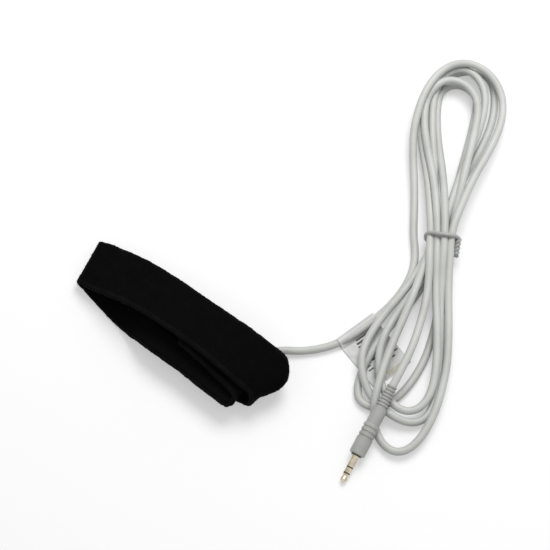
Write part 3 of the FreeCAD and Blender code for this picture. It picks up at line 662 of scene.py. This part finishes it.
def lowest(plan):
    """How low the cord may lie: on the bench, or on the tie's wire."""
    from_tie = plan - np.array(HANK)
    along_hank = -from_tie[:, 0] * math.sin(HANK_TURN) + from_tie[:, 1] * math.cos(HANK_TURN)
    on_wire = np.hypot(*from_tie.T) < WIRE_REACH
    return BED + WIRE_LIFT * np.exp(-((along_hank - WIRE_ALONG) / WIRE_EASE) ** 2) * on_wire


def highest(plan):
    """How high the cord may lie: under the plug where it passes there, and free elsewhere."""
    run = PLUG_BACK - PLUG_FRONT
    share = (plan - PLUG_FRONT[:2]) @ run[:2] / (run[:2] @ run[:2])
    aside = np.linalg.norm(plan - PLUG_FRONT[:2] - share[:, None] * run[:2], axis=1)
    radius = np.interp(share, *zip(*plug_outline))
    sunk_in = np.sqrt(np.maximum((radius + CORD / 2) ** 2 - aside ** 2, 0.0))
    ceiling = PLUG_FRONT[2] + share * run[2] - sunk_in
    own_end = np.arange(len(plan)) > len(plan) - len(run_parts) * len(tail_points)
    free = 1.0
    ceiling[(aside > radius + 0.4 * CORD) | (share < 0.02) | (share > 0.98) | own_end] = free
    return ceiling


def settled(points, rounds=130):
    """The cord's points after it has sunk on the bench, each run resting on those that it crosses.

    It sinks a little each round and is smoothed, until it is left to come to rest. What overlaps is
    moved apart, half up and half down, in a few passes; its ends stay in the boot and the plug.
    """
    sinks_until, smoothed_until = 0.7, 0.85
    sink = 0.00012
    passes = 3
    push = 1.3
    in_boot, in_plug = 8, 6
    points = np.array(points, float)
    count = len(points)
    weights = []
    for index in range(count - 2):
        for part in run_parts:
            row = np.zeros(count)
            row[index:index + 3] = ((1 - part) ** 2 / 2, 0.5 + part - part * part, part * part / 2)
            weights.append(row)
    weights = np.array(weights)
    back = (weights / weights.sum(0)).T
    plan = weights @ points[:, :2]
    heights = points[:, 2].copy()
    over, under, needed = meetings(plan, weights @ heights)
    floor, ceiling = lowest(plan), highest(plan)
    held = np.zeros(count, bool)
    held[:in_boot] = True
    held[-in_plug:] = True
    for step in range(rounds):
        sunk = heights - (sink if step < sinks_until * rounds else 0.0)
        if step < smoothed_until * rounds:
            sunk[1:-1] = 0.5 * sunk[1:-1] + 0.25 * (sunk[:-2] + sunk[2:])
        for _ in range(passes):
            now = weights @ sunk
            lift, drop = np.zeros(len(now)), np.zeros(len(now))
            lack = needed - (now[over] - now[under])
            tight = lack > 0
            np.maximum.at(lift, over[tight], lack[tight] / 2)
            np.maximum.at(drop, under[tight], lack[tight] / 2)
            then = np.maximum(np.minimum(now + lift - drop, ceiling), floor)
            sunk = sunk + push * (back @ (then - now))
        heights = np.where(held, heights, sunk)
    points[:, 2] = np.maximum(heights, np.where(held, 0.0, BED))
    return points


cord_way = settled(cord_points)


def flex_curve(name, points, thickness, material):
    """A round flex along one smooth line."""
    curve = bpy.data.curves.new(name, "CURVE")
    curve.dimensions = "3D"
    spline = curve.splines.new("NURBS")
    spline.points.add(len(points) - 1)
    for spot, point in zip(spline.points, points):
        spot.co = (*point, 1.0)
    spline.order_u = 3
    spline.use_endpoint_u = True
    spline.resolution_u = 8
    curve.bevel_depth = thickness / 2
    curve.bevel_resolution = 6
    curve.use_fill_caps = True
    curve.materials.append(material)
    return put(name, curve)


def flex_jacket():
    """Matt grey PVC: warm and even, with faint handling marks and a fine skin."""
    material, tree, shader, places = new_finish("flex_jacket", (0.54, 0.55, 0.525), 0.46)
    marks = grain(tree, places, 75.0, 5.0)
    greys = ((0.3, (0.47, 0.48, 0.455)), (0.5, (0.53, 0.54, 0.515)), (0.72, (0.57, 0.58, 0.555)))
    tree.links.new(shades(tree, marks, greys), shader.inputs["Base Color"])
    skin = grain(tree, places, 2600.0, 3.0)
    tree.links.new(between(tree, skin, 0.4, 0.56), shader.inputs["Roughness"])
    raised(tree, shader, skin, 0.00002, 0.5)
    return material


grey_flex = flex_jacket()
cord = flex_curve("cord", cord_way, CORD, grey_flex)
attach(cord, "main")
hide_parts("cord_lead", "cord_hank", "cord_tail")


# ---------------------------------------------------------------- the boot and the plug's mouldings
# The plug's grip and its ribbed relief are moulded on the cord in a harder grey PVC, a shade darker
# than the flex, with a satin skin. The boot at the head is black, like the head itself.
def plug_moulding():
    """Harder grey PVC with faint flow marks and a satin skin."""
    material, tree, shader, places = new_finish("plug_moulding", (0.42, 0.42, 0.4), 0.45)
    flow = grain(tree, places, 190.0, 4.0)
    greys = ((0.3, (0.35, 0.353, 0.334)), (0.7, (0.42, 0.423, 0.4)))
    tree.links.new(shades(tree, flow, greys), shader.inputs["Base Color"])
    skin = grain(tree, places, 3400.0, 2.0)
    tree.links.new(between(tree, skin, 0.36, 0.54), shader.inputs["Roughness"])
    raised(tree, shader, skin, 0.00003, 0.5)
    return material


grey_moulding = plug_moulding()
wear("head_boot", black_abs)
wear("plug_grip", grey_moulding)
wear("plug_relief", grey_moulding)


# ---------------------------------------------------------------- the jack
# A three-pole 2.5 mm jack: turned brass with a bright plate, dulled where it slides in its socket, and
# two black nylon bands between its contacts. A dark collar closes the grip round its root.
jack_plate = plated_metal("jack_plate", (0.64, 0.57, 0.44), (0.4, 0.34, 0.24), 0.22)
for node in ("sleeve_contact", "ring_contact", "tip_contact", "sleeve_lug", "ring_lug"):
    wear(node, jack_plate)
for node in ("insulator_ring_rear", "insulator_ring_front", "plug_collar"):
    wear(node, black_nylon)


# ---------------------------------------------------------------- the wire tie
# A steel wire in a grey plastic sleeve, wound once round the hank and twisted to itself at one side.
# It sags a little between the strands that it holds.
TIE = 0.0015
# across the hank, along it and high
tie_points = [
    (0.0060, -0.0020, 0.0099),
    (0.0048, -0.0023, 0.0115),
    (0.0028, -0.0026, 0.0124),
    (0.0008, -0.0028, 0.0126),
    (-0.0012, -0.0026, 0.0119),
    (-0.0030, -0.0021, 0.0108),
    (-0.0048, -0.0019, 0.0101),
    (-0.0059, -0.0020, 0.0080),
    (-0.0059, -0.0021, 0.0050),
    (-0.0052, -0.0021, 0.0026),
    (-0.0036, -0.0021, 0.0010),
    (-0.0010, -0.0020, 0.0008),
    (0.0016, -0.0020, 0.0008),
    (0.0036, -0.0019, 0.0014),
    (0.0050, -0.0018, 0.0034),
    (0.0057, -0.0018, 0.0062),
]


def wire_sleeve():
    """The tie's plastic sleeve, marked where it was bent."""
    material, tree, shader, places = new_finish("wire_sleeve", (0.4, 0.4, 0.39), 0.42)
    marks = grain(tree, places, 600.0, 4.0)
    greys = ((0.3, (0.34, 0.34, 0.33)), (0.7, (0.44, 0.44, 0.43)))
    tree.links.new(shades(tree, marks, greys), shader.inputs["Base Color"])
    raised(tree, shader, marks, 0.00004, 0.6)
    return material


# the twist starts here, its two ends wound round each other as they run down beside the hank
TWIST_FROM = (0.0064, -0.0024, 0.0086)
TWIST_RADIUS = 0.00066
TWIST_STEP, TWIST_DROP = 0.00045, 0.0003


def twisted(start):
    """The points of one end in the twist, from its angle round it at the start."""
    run = []
    across, along, height = TWIST_FROM
    for step in range(13):
        turn = start + step * math.pi / 3
        run.append(in_hank(across + TWIST_RADIUS * math.cos(turn), along - TWIST_STEP * step,
                           height + TWIST_RADIUS * math.sin(turn) - TWIST_DROP * step))
    return run


grey_sleeve = wire_sleeve()
tie_way = twisted(0.0)[::-1] + [in_hank(*point) for point in tie_points] + twisted(math.pi)
tie = flex_curve("wire_tie", tie_way, TIE, grey_sleeve)
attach(tie, "main")
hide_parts("hank_tie")


# ---------------------------------------------------------------- the flag label
# A strip of white film wrapped round the cord and stuck to itself as a flag. It is creased by the turns
# that lie on it, yellowed along its far edge, and printed with plain bars in black ink.
FLAG_PLACE = (0.0547, 0.0380)
FLAG_TURN = math.radians(-19.0)
FLAG_WIDTH = 0.0174
FLAG_REACH = 0.0220
FILM = 0.00012
# the printed bars and the yellowed patch: from and to, away from the cord and along it
flag_bars = [
    (0.0026, 0.0032, -0.0026, 0.0032),
    (0.0040, 0.0046, -0.0031, 0.0026),
    (0.0054, 0.0060, -0.0034, 0.0012),
    (0.0090, 0.0097, -0.0016, 0.0010),
    (0.0106, 0.0113, -0.0020, 0.0006),
    (0.0122, 0.0129, -0.0023, 0.0002),
    (0.0134, 0.0140, -0.0060, -0.0040),
    (0.0150, 0.0156, -0.0060, -0.0038),
    (0.0128, 0.0134, 0.0068, 0.0082),
    (0.0143, 0.0149, 0.0064, 0.0081),
    (0.0158, 0.0164, 0.0044, 0.0058),
]
flag_patch = (0.0196, 0.0215, -0.0016, 0.0052)
# where the leaves leave the cord, where their creases and their curl start, and how strong they are
FLAG_ROOT = 0.0024
CREASED_FROM = 0.0026
CREASE, CREASES = 0.00012, 330.0
CURLED_FROM = 0.017
CURL = 15.0


def film(name, dull, clean, roughness):
    """The label's film, or the ink or stain on it, uneven in tone and a little rippled."""
    material, tree, shader, places = new_finish(name, clean, roughness)
    stain = grain(tree, places, 95.0, 3.0)
    tree.links.new(shades(tree, stain, ((0.35, dull), (0.55, clean))), shader.inputs["Base Color"])
    raised(tree, shader, grain(tree, places, 420.0, 3.0), 0.00012, 0.5)
    return material


def flag_outline():
    """The film seen along the cord: in from its far edge, round the cord, and out over itself."""
    lowest_leaf, leaf_gap, short_by = 0.00012, 0.00003, 0.0006
    wrap = CORD / 2 + FILM + 0.00006
    centre = wrap + 0.00008
    outline = [(reach, lowest_leaf) for reach in np.linspace(FLAG_REACH, FLAG_ROOT, 66)]
    for angle in range(-60, -301, -20):
        turn = math.radians(angle)
        outline.append((wrap * math.cos(turn), centre + wrap * math.sin(turn)))
    for reach in np.linspace(FLAG_ROOT, FLAG_REACH - short_by, 66):
        outline.append((reach, lowest_leaf + FILM + leaf_gap))
    outline = np.array(outline)
    ways = np.gradient(outline, axis=0)
    ways /= np.linalg.norm(ways, axis=1)[:, None]
    normals = np.stack([-ways[:, 1], ways[:, 0]], axis=1)
    return np.concatenate([outline + normals * FILM / 2, (outline - normals * FILM / 2)[::-1]])


def creased(reach, side):
    """How far the flag stands up: small creases all over, and a curl at its far edge."""
    if reach <= CREASED_FROM:
        return 0.0
    crease = CREASE * noise.noise(Vector((reach * CREASES, side * CREASES, 0.0)))
    curl = CURL * max(reach - CURLED_FROM, 0.0) ** 2
    return max(crease + curl, -FILM / 4)


def inside(patch, reach, side):
    """Whether a place on the flag lies in a bar or a patch."""
    near, far, first, last = patch
    return near < reach < far and first < side < last


def flag():
    """The label: its outline carried along the cord, creased, and inked face by face."""
    ring = flag_outline()
    across = np.linspace(-FLAG_WIDTH / 2, FLAG_WIDTH / 2, 54)
    turn, lift = math.cos(FLAG_TURN), math.sin(FLAG_TURN)
    rows = []
    for side in across:
        row = []
        for reach, height in ring:
            row.append((FLAG_PLACE[0] + reach * turn - side * lift,
                        FLAG_PLACE[1] + reach * lift + side * turn, height + creased(reach, side)))
        rows.append(row)
    finishes = []
    for side in (across[:-1] + across[1:]) / 2:
        for reach in (ring[:, 0] + np.roll(ring[:, 0], -1)) / 2:
            inked = any(inside(bar, reach, side) for bar in flag_bars)
            finishes.append(1 if inked else 2 if inside(flag_patch, reach, side) else 0)
    films = [film("label_film", (0.54, 0.545, 0.53), (0.61, 0.62, 0.61), 0.4),
             film("label_ink", (0.02, 0.02, 0.02), (0.04, 0.04, 0.04), 0.5),
             film("label_yellowed", (0.44, 0.42, 0.33), (0.54, 0.52, 0.42), 0.5)]
    return skinned("flag_label_film", rows, films, finishes)


label = flag()
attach(label, "main")
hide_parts("flag_label")


# ---------------------------------------------------------------- the bench, light and camera
# A plain white bench top under one large soft lamp, with pale walls all round. Looked at directly or
# mirrored in metal, both are white, and the bench keeps the soft shadow of what lies on it.
def in_view(tree, unseen, seen):
    """A strength that differs between what lights the piece and what is seen, also in metal."""
    rays = tree.nodes.new("ShaderNodeLightPath")
    looked_at = rays.outputs["Is Camera Ray"]
    for mirrored in ("Is Glossy Ray", "Is Transmission Ray"):
        either = tree.nodes.new("ShaderNodeMath")
        either.operation = "MAXIMUM"
        tree.links.new(looked_at, either.inputs[0])
        tree.links.new(rays.outputs[mirrored], either.inputs[1])
        looked_at = either.outputs["Value"]
    return between(tree, looked_at, unseen, seen)


def white_bench():
    """A matt top that lights the piece softly from below, and is seen white."""
    material = bpy.data.materials.new("white_bench")
    material.use_nodes = True
    tree = material.node_tree
    shader = tree.nodes["Principled BSDF"]
    shader.inputs["Base Color"].default_value = (0.62, 0.62, 0.622, 1.0)
    shader.inputs["Roughness"].default_value = 0.9
    shader.inputs["Specular IOR Level"].default_value = 0.1
    shader.inputs["Emission Color"].default_value = (1.0, 1.0, 1.0, 1.0)
    tree.links.new(in_view(tree, 0.0, 0.38), shader.inputs["Emission Strength"])
    return material


bench_mesh = bpy.data.meshes.new("bench")
HALF_BENCH = 1.2
bench_corners = [(-HALF_BENCH, -HALF_BENCH, 0.0), (HALF_BENCH, -HALF_BENCH, 0.0),
                 (HALF_BENCH, HALF_BENCH, 0.0), (-HALF_BENCH, HALF_BENCH, 0.0)]
bench_mesh.from_pydata(bench_corners, [], [(0, 1, 2, 3)])
bench_mesh.materials.append(white_bench())
put("bench", bench_mesh)

world = bpy.data.worlds.new("pale_walls")
bpy.context.scene.world = world
world.use_nodes = True
walls = world.node_tree.nodes["Background"]
walls.inputs["Color"].default_value = (1.0, 1.0, 1.0, 1.0)
world.node_tree.links.new(in_view(world.node_tree, 0.54, 1.0), walls.inputs["Strength"])


def lamp(name, place, aim, width, power):
    """A round soft light at a place, turned to what it is aimed at."""
    light = bpy.data.lights.new(name, "AREA")
    light.shape = "DISK"
    light.size = width
    light.energy = power
    piece = put(name, light)
    piece.location = place
    piece.rotation_euler = (Vector(aim) - Vector(place)).to_track_quat("-Z", "Y").to_euler()


lamp("soft_lamp", (-0.03, 0.34, 0.52), (0.03, 0.10, 0.0), width=0.36, power=2.45)

VIEW_FROM, VIEW_UP = math.radians(33.7), math.radians(68.0)
VIEW_AIM = Vector((0.01639, 0.04014, 0.0))
VIEW_FAR = 0.7
VIEW_WIDTH = 0.20992366
SENSOR = 36.0
way_back = Vector((math.sin(VIEW_FROM) * math.cos(VIEW_UP), -math.cos(VIEW_FROM) * math.cos(VIEW_UP),
                   math.sin(VIEW_UP)))
eye = bpy.data.cameras.new("bench_camera")
eye.sensor_width = SENSOR
eye.lens = SENSOR * VIEW_FAR / VIEW_WIDTH
camera = put("bench_camera", eye)
camera.location = VIEW_AIM + way_back * VIEW_FAR
camera.rotation_mode = "QUATERNION"
camera.rotation_quaternion = (-way_back).to_track_quat("-Z", "Y")
bpy.context.scene.camera = camera
bpy.context.scene.view_settings.view_transform = "Standard"
